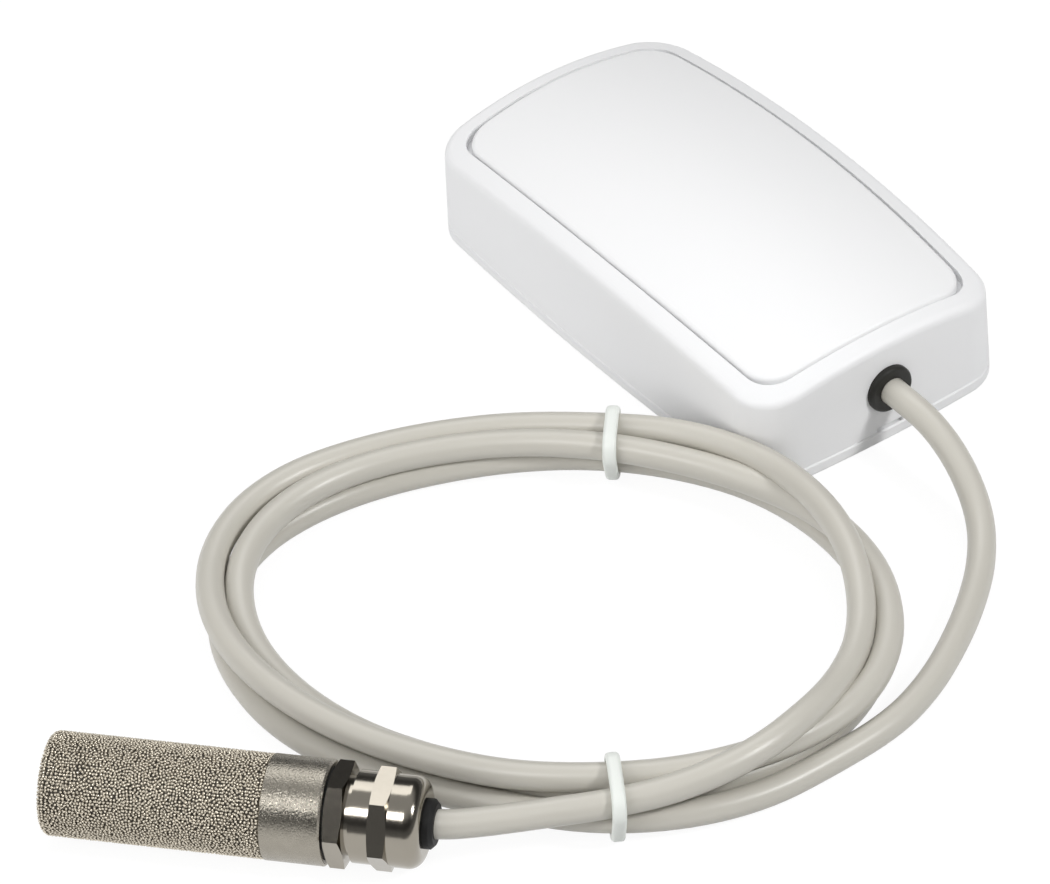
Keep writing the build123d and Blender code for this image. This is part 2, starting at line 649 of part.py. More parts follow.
def make_gland_nut():
    dome = rod_x(2 * NUT_RADIUS, NUT_START, NUT_END)
    dome = fillet(dome.edges().filter_by(GeomType.CIRCLE).sort_by(Axis.X)[-1], NUT_DOME_ROUND)
    nut = dome + hexagon(NUT_HEX_START, NUT_HEX_END, NUT_HEX_TURN)
    nut -= rod_x(GLAND_THREAD, NUT_START, NUT_HEX_END)
    nut -= rod_x(GLAND_BORE, NUT_HEX_END, NUT_END - NUT_FACE)
    return nut - rod_x(NUT_MOUTH, NUT_END - NUT_FACE, NUT_END)


def make_gland_seal():
    grip = GLAND_BORE / 2
    mouth = NUT_MOUTH / 2
    bore = CABLE_DIAMETER / 2
    return turned([
        (SEAL_START, bore),
        (SEAL_START, grip),
        (NUT_END - NUT_FACE, grip),
        (NUT_END - NUT_FACE, mouth),
        (SEAL_END - SEAL_BEVEL, mouth),
        (SEAL_END, mouth - SEAL_BEVEL),
        (SEAL_END, bore),
    ])


BOARD_END = THREAD_START + PROBE_BOARD_OVERHANG
BOARD_START = BOARD_END - PROBE_BOARD_LENGTH


def make_probe_board():
    board = Box(PROBE_BOARD_LENGTH, PROBE_BOARD_WIDTH, PROBE_BOARD_THICKNESS)
    return Pos((BOARD_START + BOARD_END) / 2, 0, 0) * board


def make_humidity_sensor():
    x = BOARD_START + SENSOR_INSET + SENSOR_SIZE / 2
    z = PROBE_BOARD_THICKNESS / 2
    sensor = block(SENSOR_SIZE, SENSOR_SIZE, SENSOR_HEIGHT, x, 0, z)
    port = Cylinder(SENSOR_PORT / 2, SENSOR_HEIGHT)
    return sensor - Pos(x, 0, z + SENSOR_HEIGHT) * port


def make_potting_plug(board):
    return rod_x(COLLAR_BORE, FILTER_LENGTH - SPIGOT_LENGTH, THREAD_START) - board


def make_probe_cores():
    """Four straight cores from the end of the cable, soldered flat on both faces of the board."""
    z = (PROBE_BOARD_THICKNESS + CORE_DIAMETER) / 2
    solder_start = BOARD_END - PROBE_BOARD_OVERHANG
    cores = []
    for side in (-z, z):
        for y in (-CORE_SPREAD, CORE_SPREAD):
            cores.append(rod_x(CORE_DIAMETER, solder_start, TAIL_END, y, side))
    return cores


COIL_PLACE = Pos(COIL_OFFSET[0], EXIT_Y + COIL_OFFSET[1], 0) * Rot(0, 0, COIL_TURN)
# The oval is four tangent arcs of 90 degrees: its long and its short sides share one offset of centres.
ARC_SHIFT = (COIL_HALF_LENGTH - COIL_HALF_WIDTH) / (2 - sqrt(2))
LONG_ARC = COIL_HALF_WIDTH + ARC_SHIFT
SHORT_ARC = COIL_HALF_LENGTH - ARC_SHIFT


def bundle_section():
    return RectangleRounded(COIL_BUNDLE_WIDTH, COIL_BUNDLE_HEIGHT, COIL_BUNDLE_ROUND)


def sector(section, radius, start, span):
    """A section standing on the ties' thickness, turned about Z from a start angle."""
    z = TIE_THICKNESS + COIL_BUNDLE_HEIGHT / 2
    standing = Plane.XZ * Pos(radius, z) * section
    return Rot(0, 0, start) * revolve(standing, Axis.Z, span)


def make_cable_coil():
    ring = Pos(0, -ARC_SHIFT, 0) * sector(bundle_section(), LONG_ARC, 45, 90)
    ring += Pos(ARC_SHIFT, 0, 0) * sector(bundle_section(), SHORT_ARC, -45, 90)
    ring += Pos(0, ARC_SHIFT, 0) * sector(bundle_section(), LONG_ARC, -135, 90)
    ring += Pos(-ARC_SHIFT, 0, 0) * sector(bundle_section(), SHORT_ARC, 135, 90)
    return COIL_PLACE * ring


def make_tie(angle, coil):
    """A soft round-edged tie drawn tight round the bundle, on one of the coil's long arcs."""
    z = TIE_THICKNESS + COIL_BUNDLE_HEIGHT / 2
    rim = (Plane.XZ * Pos(LONG_ARC, z) * bundle_section()).face().outer_wire()
    section = Plane(origin=rim @ 0, x_dir=(0, 1, 0), z_dir=rim % 0)
    strand = section * RectangleRounded(TIE_WIDTH, 2 * TIE_THICKNESS, TIE_ROUND)
    shift = -ARC_SHIFT if angle > 0 else ARC_SHIFT
    return COIL_PLACE * Pos(0, shift, 0) * Rot(0, 0, angle) * sweep(strand, path=rim) - coil


def cable_tube(points):
    """A tube of the cable's diameter along straight runs, each corner rounded as far as they allow."""
    corners = [Vector(point) for point in points]
    radii = []
    for before, corner, after in zip(corners, corners[1:], corners[2:]):
        first = corner - before
        second = after - corner
        turn = radians(first.get_angle(second))
        radii.append(0.45 * min(first.length, second.length) / tan(turn / 2))
    path = FilletPolyline(*corners, radius=radii)
    section = Plane(origin=path @ 0, z_dir=path % 0) * Circle(CABLE_DIAMETER / 2)
    tube = sweep(section, path=path)
    expected = pi * CABLE_DIAMETER**2 / 4 * path.length
    print("cable tube: volume", round(tube.volume, 1), "section times length", round(expected, 1))
    print("  radii", [round(radius, 1) for radius in radii])
    return tube


def from_exit(point):
    """A point of the route, counted from the cable's exit, in the frame of the case."""
    across, out, height = point
    return (across, EXIT_Y + out, height)


def probe_point(along):
    """A point on the probe's axis."""
    turn = radians(PROBE_TURN)
    return (PROBE_TIP[0] + along * cos(turn), PROBE_TIP[1] + along * sin(turn), PROBE_RADIUS)


def make_cables(coil):
    lead_points = [(0, CABLE_END_Y, CABLE_HEIGHT)] + [from_exit(point) for point in LEAD_POINTS]
    tail_points = [from_exit(point) for point in TAIL_POINTS]
    tail_points += [probe_point(SEAL_END + TAIL_STRAIGHT), probe_point(TAIL_END)]
    lead = cable_tube(lead_points) - coil
    tail = cable_tube(tail_points) - coil
    return lead, tail


top_cover = make_top_cover()
contact_positive, contact_negative = make_contacts()
radio_module, radio_shield = make_radio()
probe_socket, probe_plug = make_socket_and_plug()
probe_board = make_probe_board()
cable_coil = make_cable_coil()
cable_lead, cable_tail = make_cables(cable_coil)

parts = {
    "top_cover": top_cover,
    "base_shell": make_base_shell(),
    "front_panel": make_front_panel(),
    "cable_grommet": make_grommet(top_cover),
    "cable_stop": make_cable_stop(),
    "main_board": make_main_board(),
    "board_screws": make_board_screws(),
    "battery_holder": make_battery_holder(),
    "coin_cell": make_coin_cell(),
    "contact_positive": contact_positive,
    "contact_negative": contact_negative,
    "radio_module": radio_module,
    "radio_shield": radio_shield,
    "antenna": make_antenna(),
    "microcontroller": make_controller(),
    "memory_chip": make_chip(MEMORY_WIDTH, MEMORY_LENGTH, MEMORY_LEGS, (0, 180), MEMORY_Y),
    "clock_crystal": make_crystal(),
    "bulk_capacitor": make_capacitor(),
    "probe_socket": probe_socket,
    "probe_plug": probe_plug,
    "inner_cores": make_inner_cores(),
    "cable_lead": cable_lead,
    "cable_coil": cable_coil,
    "cable_tail": cable_tail,
    "tie_rear": make_tie(TIE_REAR_ANGLE, cable_coil),
    "tie_front": make_tie(TIE_FRONT_ANGLE, cable_coil),
}
probe_parts = {
    "sensor_filter": make_sensor_filter(),
    "probe_collar": make_probe_collar(),
    "gland_gasket": make_gland_gasket(),
    "gland_body": make_gland_body(),
    "gland_nut": make_gland_nut(),
    "gland_seal": make_gland_seal(),
    "probe_board": probe_board,
    "humidity_sensor": make_humidity_sensor(),
    "potting_plug": make_potting_plug(probe_board),
    "probe_cores": make_probe_cores(),
}

os.makedirs("parts", exist_ok=True)
for name, shape in parts.items():
    solids = Compound(children=shape) if isinstance(shape, list) else shape
    export_step(solids, f"parts/{name}.step")
for name, shape in probe_parts.items():
    solids = Compound(children=shape) if isinstance(shape, list) else shape
    export_step(PROBE_PLACE * solids, f"parts/{name}.step")
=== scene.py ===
# %% [markdown]
# # A wireless temperature and humidity logger
# The imported model is the fixed frame: its pieces are already at their real size and place, in metres.
# What is left for this script is what a CAD model does badly: the finish of each surface, the cable's
# own line, the grains of the sintered cap and the soft ties.

# %% Load the frame
import json
from math import cos, radians, sin

import bpy
from mathutils import Matrix, Vector


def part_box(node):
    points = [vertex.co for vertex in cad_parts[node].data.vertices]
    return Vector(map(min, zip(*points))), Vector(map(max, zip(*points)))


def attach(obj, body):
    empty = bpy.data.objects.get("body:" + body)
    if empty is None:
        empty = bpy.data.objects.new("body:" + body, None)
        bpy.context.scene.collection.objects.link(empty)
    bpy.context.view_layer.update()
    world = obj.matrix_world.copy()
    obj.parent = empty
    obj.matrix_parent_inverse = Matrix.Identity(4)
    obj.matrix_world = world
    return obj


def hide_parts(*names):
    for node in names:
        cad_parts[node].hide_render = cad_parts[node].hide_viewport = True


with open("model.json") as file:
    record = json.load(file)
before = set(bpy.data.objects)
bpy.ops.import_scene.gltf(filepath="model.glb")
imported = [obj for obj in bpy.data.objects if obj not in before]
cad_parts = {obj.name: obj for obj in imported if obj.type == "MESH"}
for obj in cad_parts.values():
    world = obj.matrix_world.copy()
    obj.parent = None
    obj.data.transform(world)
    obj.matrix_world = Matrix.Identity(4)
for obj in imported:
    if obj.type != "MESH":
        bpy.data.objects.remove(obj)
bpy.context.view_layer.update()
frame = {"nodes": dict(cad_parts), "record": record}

MM = 0.001

# %% [markdown]
# ## The camera
# The photograph was taken from above the cable's end, with a long lens. The view could be tried out by
# hand, but the case is a known block, so its heading, height and tilt were worked out from its outline.
# The lens follows from the picture's width in pixels and the focal length in the same pixels.

# %% Place the camera
PICTURE_WIDTH = 1050
FOCAL_PIXELS = 7428
SENSOR_WIDTH = 36
VIEW_HEADING = radians(-33.1671)
VIEW_HEIGHT = radians(39.8528)
VIEW_TILT = radians(-4.1454)
VIEW_DISTANCE = 1.2
VIEW_SHIFT_RIGHT = 30.722 * MM
VIEW_SHIFT_UP = 23.257 * MM

level_right = Vector((cos(VIEW_HEADING), sin(VIEW_HEADING), 0))
level_back = Vector((sin(VIEW_HEADING), -cos(VIEW_HEADING), 0))
back = level_back * cos(VIEW_HEIGHT) + Vector((0, 0, sin(VIEW_HEIGHT)))
level_up = back.cross(level_right)
right = level_right * cos(VIEW_TILT) + level_up * sin(VIEW_TILT)
up = level_up * cos(VIEW_TILT) - level_right * sin(VIEW_TILT)
eye = back * VIEW_DISTANCE - right * VIEW_SHIFT_RIGHT - up * VIEW_SHIFT_UP

camera_data = bpy.data.cameras.new("camera")
camera_data.sensor_fit = "HORIZONTAL"
camera_data.sensor_width = SENSOR_WIDTH
camera_data.lens = FOCAL_PIXELS / PICTURE_WIDTH * SENSOR_WIDTH
camera = bpy.data.objects.new("camera", camera_data)
bpy.context.collection.objects.link(camera)
camera.matrix_world = Matrix.Translation(eye) @ Matrix((right, up, back)).transposed().to_4x4()
bpy.context.scene.camera = camera
bpy.context.scene.view_settings.view_transform = "Standard"
print("lens", round(camera_data.lens, 1), "mm, eye at", [round(v, 3) for v in eye])

# %% [markdown]
# ## The cable's free ends
# The cable is one length that leaves the grommet, sinks to the floor, goes three times round and ends
# in the probe's gland. It could be three tubes, as in the CAD model, but one spline has no seams and
# bends like a cable. Its two free ends, the lead and the tail, are a few listed points, measured from
# the case's end wall.

# %% Free ends of the cable
CABLE_DIAMETER = 4.5 * MM
grommet_low, grommet_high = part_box("cable_grommet")
cable_exit = (grommet_low + grommet_high) / 2
cable_exit.y = grommet_low.y
wall_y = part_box("base_shell")[0].y

# Steps in millimetres from the case's end wall: across, outwards, and height above the floor.
LEAD_POINTS = [
    (0.0, 4.0, 10.5),
    (0.0, -1.0, 10.5),
    (0.3, -10.5, 10.0),
    (-0.6, -19.0, 7.2),
    (-3.4, -27.2, 3.9),
    (-8.7, -34.2, 2.4),
    (-15.8, -40.6, 2.25),
    (-23.8, -46.4, 2.25),
    (-32.8, -51.6, 2.25),
    (-42.4, -54.9, 2.25),
]
TAIL_POINTS = [
    (-90.2, -46.8, 7.9),
    (-95.5, -44.1, 8.0),
    (-100.8, -41.4, 8.0),
    (-106.2, -38.5, 8.0),
]


def from_wall(point):
    """A place in metres, for a row of millimetres."""
    across, out, height = point
    return Vector((across * MM, wall_y + out * MM, height * MM))


print("cable leaves at", [round(v / MM, 1) for v in cable_exit], "in mm, with", len(LEAD_POINTS),
      "points in the lead and", len(TAIL_POINTS), "in the tail")

# %% [markdown]
# ## Into the gland
# The cable ends inside the gland. Its last points could be listed like the others, but then it would
# enter at a slant. The record says where the probe's barrel is and which way it points, so the last
# points are measured along that line, backwards from the probe's tip.

# %% End of the cable
FILTER_LENGTH = 34.0 * MM
COLLAR_LENGTH = 9.45 * MM
SEAL_END = 59.5 * MM
BEHIND_SEAL = 1.0 * MM
CABLE_GRIP = 8.8 * MM

# The barrel is a mount in the middle of the collar, and its axis points at the tip.
barrel = next(mount for mount in frame["record"]["mounts"] if mount["name"] == "probe_barrel")
probe_axis = Vector(barrel["axis"]).normalized()
probe_tip = Vector(barrel["pos_m"]) + probe_axis * (FILTER_LENGTH + COLLAR_LENGTH / 2)


def along_probe(distance):
    """A point on the probe's axis, so far behind its tip."""
    return probe_tip - probe_axis * distance


gland_points = [
    along_probe(SEAL_END + BEHIND_SEAL),
    along_probe(SEAL_END - CABLE_GRIP / 2),
    along_probe(SEAL_END - CABLE_GRIP),
]
print("cable ends at", [round(v / MM, 1) for v in gland_points[-1]], "in mm")

# %% [markdown]
# ## The lanes of the coil
# The rest was wound by hand, so the turns lie beside and over each other and no two are alike. A neat
# helix would be quick, but it would look like a spring. Here all turns follow one oval, and each row of
# a list says, for an angle round it, how far outside the oval the strand lies and how high.

# %% Lanes of the turns
# Angle round the oval in degrees, then steps outwards and upwards in millimetres.
LANES = [
    (-20, 2.75, 2.3), (-35, 2.95, 2.3), (-45, 3.4, 2.6), (-55, 3.5, 3.6), (-63, 3.4, 3.8),
    (-70, 2.3, 2.8), (-76, 0.8, 2.5), (-83, -0.3, 2.4), (-90, -0.7, 2.3), (-105, 0.3, 2.3),
    (-120, 1.4, 2.3), (-150, 1.2, 2.3),
    (-161, 0.8, 2.3), (-182, -0.7, 2.3), (-195, -2.4, 2.3), (-213, -3.4, 2.3), (-226, -3.7, 2.3),
    (-251, -2.5, 3.2), (-262, -1.5, 3.8), (-270, -0.4, 3.6), (-277, 1.0, 3.0), (-284, 1.9, 2.7),
    (-293, 2.9, 2.4), (-318, 2.1, 2.3), (-330, 1.4, 2.3), (-345, 0.2, 2.3), (-360, -1.0, 2.3),
    (-380, -1.6, 2.3), (-395, -1.7, 2.8), (-405, -1.4, 3.4),
    (-423, -1.6, 4.0), (-437, -3.6, 4.2), (-452, -4.6, 4.3), (-478, -3.9, 3.8), (-488, -3.5, 4.2),
    (-510, -2.5, 4.6), (-521, -2.1, 5.7), (-533, -2.1, 6.4), (-555, -2.6, 6.6), (-586, -3.6, 6.5),
    (-611, -3.5, 7.1), (-622, -3.4, 7.5), (-630, -3.0, 7.4), (-638, -2.1, 7.1), (-652, 0.0, 6.3),
    (-662, 1.3, 6.4), (-682, 2.2, 6.6), (-697, 1.9, 6.4), (-715, 1.4, 6.1), (-732, 0.6, 6.3),
    (-744, -1.0, 6.5), (-755, -1.2, 7.1), (-765, -0.9, 7.8),
    (-783, -1.3, 8.0), (-798, -1.1, 7.6), (-812, -1.5, 7.4), (-840, -0.7, 6.8), (-870, 1.6, 6.6),
    (-886, 2.6, 6.2), (-902, 3.1, 6.2), (-915, 2.9, 6.3), (-933, 1.0, 6.3), (-946, 0.7, 6.0),
    (-971, 1.0, 6.7), (-982, 1.2, 7.4), (-998, 3.0, 8.5), (-1012, 3.2, 8.6), (-1022, 1.6, 9.7),
    (-1030, 0.3, 10.2), (-1042, -0.9, 9.8), (-1052, -2.0, 8.4), (-1064, -2.7, 7.6), (-1080, -3.2, 7.4),
    (-1092, -2.7, 8.7), (-1104, -0.7, 10.3), (-1115, 1.6, 10.1), (-1130, 3.5, 8.8),
]


def lane_at(angle):
    """Steps outwards and upwards at an angle, between the two nearest rows of the list."""
    for (start, out_a, up_a), (end, out_b, up_b) in zip(LANES, LANES[1:]):
        if end <= angle <= start:
            share = (start - angle) / (start - end)
            return (out_a + (out_b - out_a) * share) * MM, (up_a + (up_b - up_a) * share) * MM


FULL_TURN = 360
first_angle = LANES[0][0]
last_angle = LANES[-1][0]
print("the cable goes", round((first_angle - last_angle) / FULL_TURN, 2), "times round")

# %% [markdown]
# ## The turns of the coil
# The rows could be the spline's points themselves, but they crowd where the strands cross, and uneven
# points make a spline wobble. So the points are spread evenly round the oval, and each looks up its
# lane.

# %% Turns of the coil
COIL_HALF_LENGTH = 51.5 * MM
COIL_HALF_WIDTH = 40.1 * MM
COIL_TURN = radians(-58.3)
TURN_STEP = 15
coil_low, coil_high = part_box("cable_coil")
coil_centre = (coil_low + coil_high) / 2


def on_oval(angle, outwards, height):
    """A point beside the oval, turned and moved to where the coil lies."""
    turn = radians(angle)
    point = Vector((COIL_HALF_LENGTH * cos(turn), COIL_HALF_WIDTH * sin(turn), 0))
    normal = Vector((cos(turn) / COIL_HALF_LENGTH, sin(turn) / COIL_HALF_WIDTH, 0)).normalized()
    local = point + normal * outwards
    placed = Matrix.Rotation(COIL_TURN, 4, "Z") @ local
    return Vector((coil_centre.x + placed.x, coil_centre.y + placed.y, height))


# A spline of order 3 runs inside its control points by this share of the radius.
INSIDE = 0.25 * (1 - cos(radians(TURN_STEP)))
turn_points = []
for angle in range(first_angle, last_angle - 1, -TURN_STEP):
    outwards, upwards = lane_at(angle)
    outwards += INSIDE * (COIL_HALF_LENGTH + COIL_HALF_WIDTH) / 2
    turn_points.append(on_oval(angle, outwards, upwards))
print("points in the turns", len(turn_points))

# %% [markdown]
# ## One cable
# The points now become one spline. A chain of straight runs would show its corners, so the curve is a
# NURBS spline, which only leans towards its points and stays smooth. The round section comes from the
# bevel, and each point's radius is half the cable's thickness.

# %% Draw the cable
SPLINE_STEPS = 6
ROUND_STEPS = 6

route = [from_wall(point) for point in LEAD_POINTS]
route += turn_points
route += [from_wall(point) for point in TAIL_POINTS]
route += gland_points

cable_curve = bpy.data.curves.new("cable", "CURVE")
cable_curve.dimensions = "3D"
spline = cable_curve.splines.new("NURBS")
spline.points.add(len(route) - 1)
for point, place in zip(spline.points, route):
    point.co = (*place, 1)
    point.radius = CABLE_DIAMETER / 2
spline.order_u = 3
spline.use_endpoint_u = True
spline.resolution_u = SPLINE_STEPS
cable_curve.bevel_depth = 1.0
cable_curve.bevel_resolution = ROUND_STEPS
cable_curve.use_fill_caps = True
cable = bpy.data.objects.new("cable", cable_curve)
bpy.context.collection.objects.link(cable)
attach(cable, "root")
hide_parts("cable_lead", "cable_coil", "cable_tail")
print("cable", round(spline.calc_length(), 4), "m long")

# %% [markdown]
# ## The line of a tie
# Two soft white straps hold the turns together. A ring would float round the bundle, but a real strap
# is pulled tight: it bends round each outer strand and runs straight between them. So for every
# direction the strand that reaches furthest gives a point of the strap's line.

# %% Line of a tie
TIE_THICKNESS = 1.3 * MM
TIE_STEP = 6
strap_reach = (CABLE_DIAMETER + TIE_THICKNESS) / 2


def strands_at(angle):
    """Where the turns cross one line of the oval: steps outwards and upwards."""
    passes = range(angle, last_angle, -FULL_TURN)
    return [lane_at(turn) for turn in passes if turn <= first_angle]


def strap_line(strands):
    """A closed line that touches the outer strands, seen along the cable."""
    line = []
    for step in range(0, FULL_TURN, TIE_STEP):
        side = Vector((cos(radians(step)), sin(radians(step))))
        furthest = max((Vector(strand) for strand in strands), key=side.dot)
        line.append(furthest + side * strap_reach)
    return line


# The tail passes the front tie too, after the last row of the list.
TAIL_AT_FRONT_TIE = (5.0 * MM, 7.8 * MM)
REAR_TIE_ANGLE = 96
FRONT_TIE_ANGLE = -61
rear_strands = strands_at(REAR_TIE_ANGLE)
front_strands = strands_at(FRONT_TIE_ANGLE) + [TAIL_AT_FRONT_TIE]
print("ties hold", len(rear_strands), "and", len(front_strands), "strands")

# %% [markdown]
# ## The section of a tie
# A strap is flat with round edges. It could be a mesh band with bevelled edges, but a closed curve that
# is extruded a little and has a round bevel gives that section at once. The curve is drawn flat, round
# its own middle, and is stood up later.

# %% Section of a tie
TIE_WIDTH = 2.2 * MM
EDGE_STEPS = 4


def strap_curve(name, line):
    """A closed curve along a line, with a flat section and round edges."""
    curve = bpy.data.curves.new(name, "CURVE")
    curve.dimensions = "2D"
    curve.fill_mode = "NONE"
    loop = curve.splines.new("POLY")
    loop.points.add(len(line) - 1)
    for point, place in zip(loop.points, line):
        point.co = (*place, 0, 1)
    loop.use_cyclic_u = True
    curve.bevel_depth = TIE_THICKNESS / 2
    curve.bevel_resolution = EDGE_STEPS
    curve.extrude = (TIE_WIDTH - TIE_THICKNESS) / 2
    return curve


print("a tie is", round(TIE_WIDTH / MM, 1), "mm wide and", round(TIE_THICKNESS / MM, 1), "mm thick")

# %% [markdown]
# ## The ties in place
# A tie stands across the cable, but none is pulled exactly square, so each is turned and tipped a
# little, as in the photograph. It could stay a curve, but a flat curve can't take up the place where it
# stands. So it is made a mesh first, and its place is applied to that mesh.

# %% Make the ties
def make_tie(name, node, angle, strands, swing, lean):
    """A strap round the strands, turned about the vertical by swing and tipped along the cable by lean."""
    line = strap_line(strands)
    middle = sum(line, Vector((0, 0))) / len(line)
    tie = bpy.data.objects.new(name, strap_curve(name, [point - middle for point in line]))
    bpy.context.collection.objects.link(tie)
    bpy.ops.object.select_all(action="DESELECT")
    tie.select_set(True)
    bpy.context.view_layer.objects.active = tie
    bpy.ops.object.convert(target="MESH")
    bpy.ops.object.shade_smooth()
    foot = on_oval(angle, middle.x, middle.y)
    out = (on_oval(angle, middle.x + MM, middle.y) - foot).normalized()
    top = Vector((0, 0, 1))
    stand = Matrix((out, top, out.cross(top))).transposed().to_4x4()
    turned = Matrix.Rotation(radians(swing), 4, "Z") @ stand @ Matrix.Rotation(radians(lean), 4, "X")
    tie.matrix_world = Matrix.Translation(foot) @ turned
    bpy.ops.object.transform_apply(location=True, rotation=True, scale=True)
    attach(tie, "root")
    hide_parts(node)
    return tie


strap_rear = make_tie("strap_rear", "tie_rear", REAR_TIE_ANGLE, rear_strands, swing=13, lean=0)
strap_front = make_tie("strap_front", "tie_front", FRONT_TIE_ANGLE, front_strands, swing=4.5, lean=-2.5)
print("ties have", len(strap_rear.data.polygons), "and", len(strap_front.data.polygons), "faces")

# %% [markdown]

# %% [markdown]
# ## Shared grain
# Every moulded or plated surface here differs a little from place to place: patches of slightly other
# colour, and a fine grain that scatters the light. Each material could carry its own noise nodes, but
# one node group with named inputs keeps the effect in one place, and each material sets its own
# amounts.

# %% Sockets of the grain group
def socket(group, name, way, kind):
    """Adds a named input or output to a node group."""
    return group.interface.new_socket(name=name, in_out=way, socket_type=kind)


grain = bpy.data.node_groups.new("surface_grain", "ShaderNodeTree")
for name in ("Color", "Tint"):
    socket(grain, name, "INPUT", "NodeSocketColor")
for name in ("Patch Scale", "Grain Scale", "Rough Low", "Rough High"):
    socket(grain, name, "INPUT", "NodeSocketFloat")
socket(grain, "Color", "OUTPUT", "NodeSocketColor")
socket(grain, "Roughness", "OUTPUT", "NodeSocketFloat")
socket(grain, "Height", "OUTPUT", "NodeSocketFloat")
print("grain group has", len(grain.interface.items_tree), "sockets")

# %% [markdown]
# ## Inside the grain group
# Two noises do the work. One picture of the surface could hold both, but noise has no edges and no size
# of its own: a broad one mixes the colour with its tint, and a fine one is both the roughness and the
# relief.

# %% Nodes of the grain group
PATCH_DETAIL = 3
GRAIN_DETAIL = 4
# A Mix node has sockets for every kind of value, so those for colours go by number.
MIX_SHARE = 0
MIX_FIRST = 6
MIX_SECOND = 7
MIX_RESULT = 2

nodes, links = grain.nodes, grain.links
group_in = nodes.new("NodeGroupInput")
group_out = nodes.new("NodeGroupOutput")
place = nodes.new("ShaderNodeTexCoord")
patches = nodes.new("ShaderNodeTexNoise")
patches.inputs["Detail"].default_value = PATCH_DETAIL
fine = nodes.new("ShaderNodeTexNoise")
fine.inputs["Detail"].default_value = GRAIN_DETAIL
blend = nodes.new("ShaderNodeMix")
blend.data_type = "RGBA"
rough = nodes.new("ShaderNodeMapRange")
links.new(place.outputs["Object"], patches.inputs["Vector"])
links.new(place.outputs["Object"], fine.inputs["Vector"])
links.new(group_in.outputs["Patch Scale"], patches.inputs["Scale"])
links.new(group_in.outputs["Grain Scale"], fine.inputs["Scale"])
links.new(patches.outputs["Fac"], blend.inputs[MIX_SHARE])
links.new(group_in.outputs["Color"], blend.inputs[MIX_FIRST])
links.new(group_in.outputs["Tint"], blend.inputs[MIX_SECOND])
links.new(fine.outputs["Fac"], rough.inputs["Value"])
links.new(group_in.outputs["Rough Low"], rough.inputs["To Min"])
links.new(group_in.outputs["Rough High"], rough.inputs["To Max"])
links.new(blend.outputs[MIX_RESULT], group_out.inputs["Color"])
links.new(rough.outputs["Result"], group_out.inputs["Roughness"])
links.new(fine.outputs["Fac"], group_out.inputs["Height"])
print("grain group has", len(nodes), "nodes")

# %% [markdown]
# ## A material from the group
# All finishes of the object are variations of one recipe: a colour with patches, a roughness that
# wanders between two ends, and a fine relief. The recipe could be copied for each, but a helper that
# places the group in a new material keeps every finish to two lines. A second helper gives a material
# to the CAD pieces.

# %% A material with grain
def grained(name, color, tint, patch, fine, rough, bump, metallic=0.0, depth=0.05 * MM):
    """A surface whose colour, roughness and bump come from the grain group."""
    made = bpy.data.materials.new(name)
    made.use_nodes = True
    tree = made.node_tree
    shader = tree.nodes["Principled BSDF"]
    shader.inputs["Metallic"].default_value = metallic
    surface = tree.nodes.new("ShaderNodeGroup")
    surface.node_tree = grain
    surface.inputs["Color"].default_value = (*color, 1)
    surface.inputs["Tint"].default_value = (*tint, 1)
    surface.inputs["Patch Scale"].default_value = patch
    surface.inputs["Grain Scale"].default_value = fine
    surface.inputs["Rough Low"].default_value = rough[0]
    surface.inputs["Rough High"].default_value = rough[1]
    relief = tree.nodes.new("ShaderNodeBump")
    relief.inputs["Strength"].default_value = bump
    relief.inputs["Distance"].default_value = depth
    tree.links.new(surface.outputs["Color"], shader.inputs["Base Color"])
    tree.links.new(surface.outputs["Roughness"], shader.inputs["Roughness"])
    tree.links.new(surface.outputs["Height"], relief.inputs["Height"])
    tree.links.new(relief.outputs["Normal"], shader.inputs["Normal"])
    return made


def dress(material, *names):
    """Gives CAD nodes their material."""
    for name in names:
        slots = frame["nodes"][name].data.materials
        slots.clear()
        slots.append(material)
    print(material.name, "on", ", ".join(names))


print("a finish is set by", [item.name for item in grain.interface.items_tree if item.in_out == "INPUT"])

# %% [markdown]
# ## Case, panel and rubber
# The case is moulded in white plastic with a fine texture from the mould, and the inlaid panel is the
# same plastic from a smoother mould. One white for both would hide the seam between them, so the case
# is a little rougher and cooler. The grommet and the gland's seal are black rubber, dull and slightly
# uneven.

# %% Finish the case
case_plastic = grained("case_plastic", (0.86, 0.865, 0.875), (0.88, 0.88, 0.885),
                       patch=40, fine=3000, rough=(0.42, 0.55), bump=0.12)
panel_plastic = grained("panel_plastic", (0.9, 0.9, 0.905), (0.885, 0.887, 0.892),
                        patch=30, fine=3600, rough=(0.4, 0.5), bump=0.08)
grommet_rubber = grained("grommet_rubber", (0.016, 0.016, 0.014), (0.028, 0.027, 0.024),
                         patch=300, fine=2500, rough=(0.4, 0.55), bump=0.2)
seal_rubber = grained("seal_rubber", (0.008, 0.008, 0.008), (0.018, 0.018, 0.018),
                      patch=300, fine=2500, rough=(0.5, 0.65), bump=0.2)
RUBBER_SHINE = 0.25
for rubber in (grommet_rubber, seal_rubber):
    rubber.node_tree.nodes["Principled BSDF"].inputs["Specular IOR Level"].default_value = RUBBER_SHINE
dress(case_plastic, "top_cover", "base_shell")
dress(panel_plastic, "front_panel")
dress(grommet_rubber, "cable_grommet")
dress(seal_rubber, "gland_seal", "gland_gasket")

# %% [markdown]
# ## Cable jacket and ties
# The jacket is warm grey plastic, a little glossy from the extruder. The ties are a softer, whiter
# plastic. Both are new pieces with an empty slot list, so their material is appended, while the tie
# inside the case, which stops a pull on the cable, is a CAD piece and is dressed like the others.

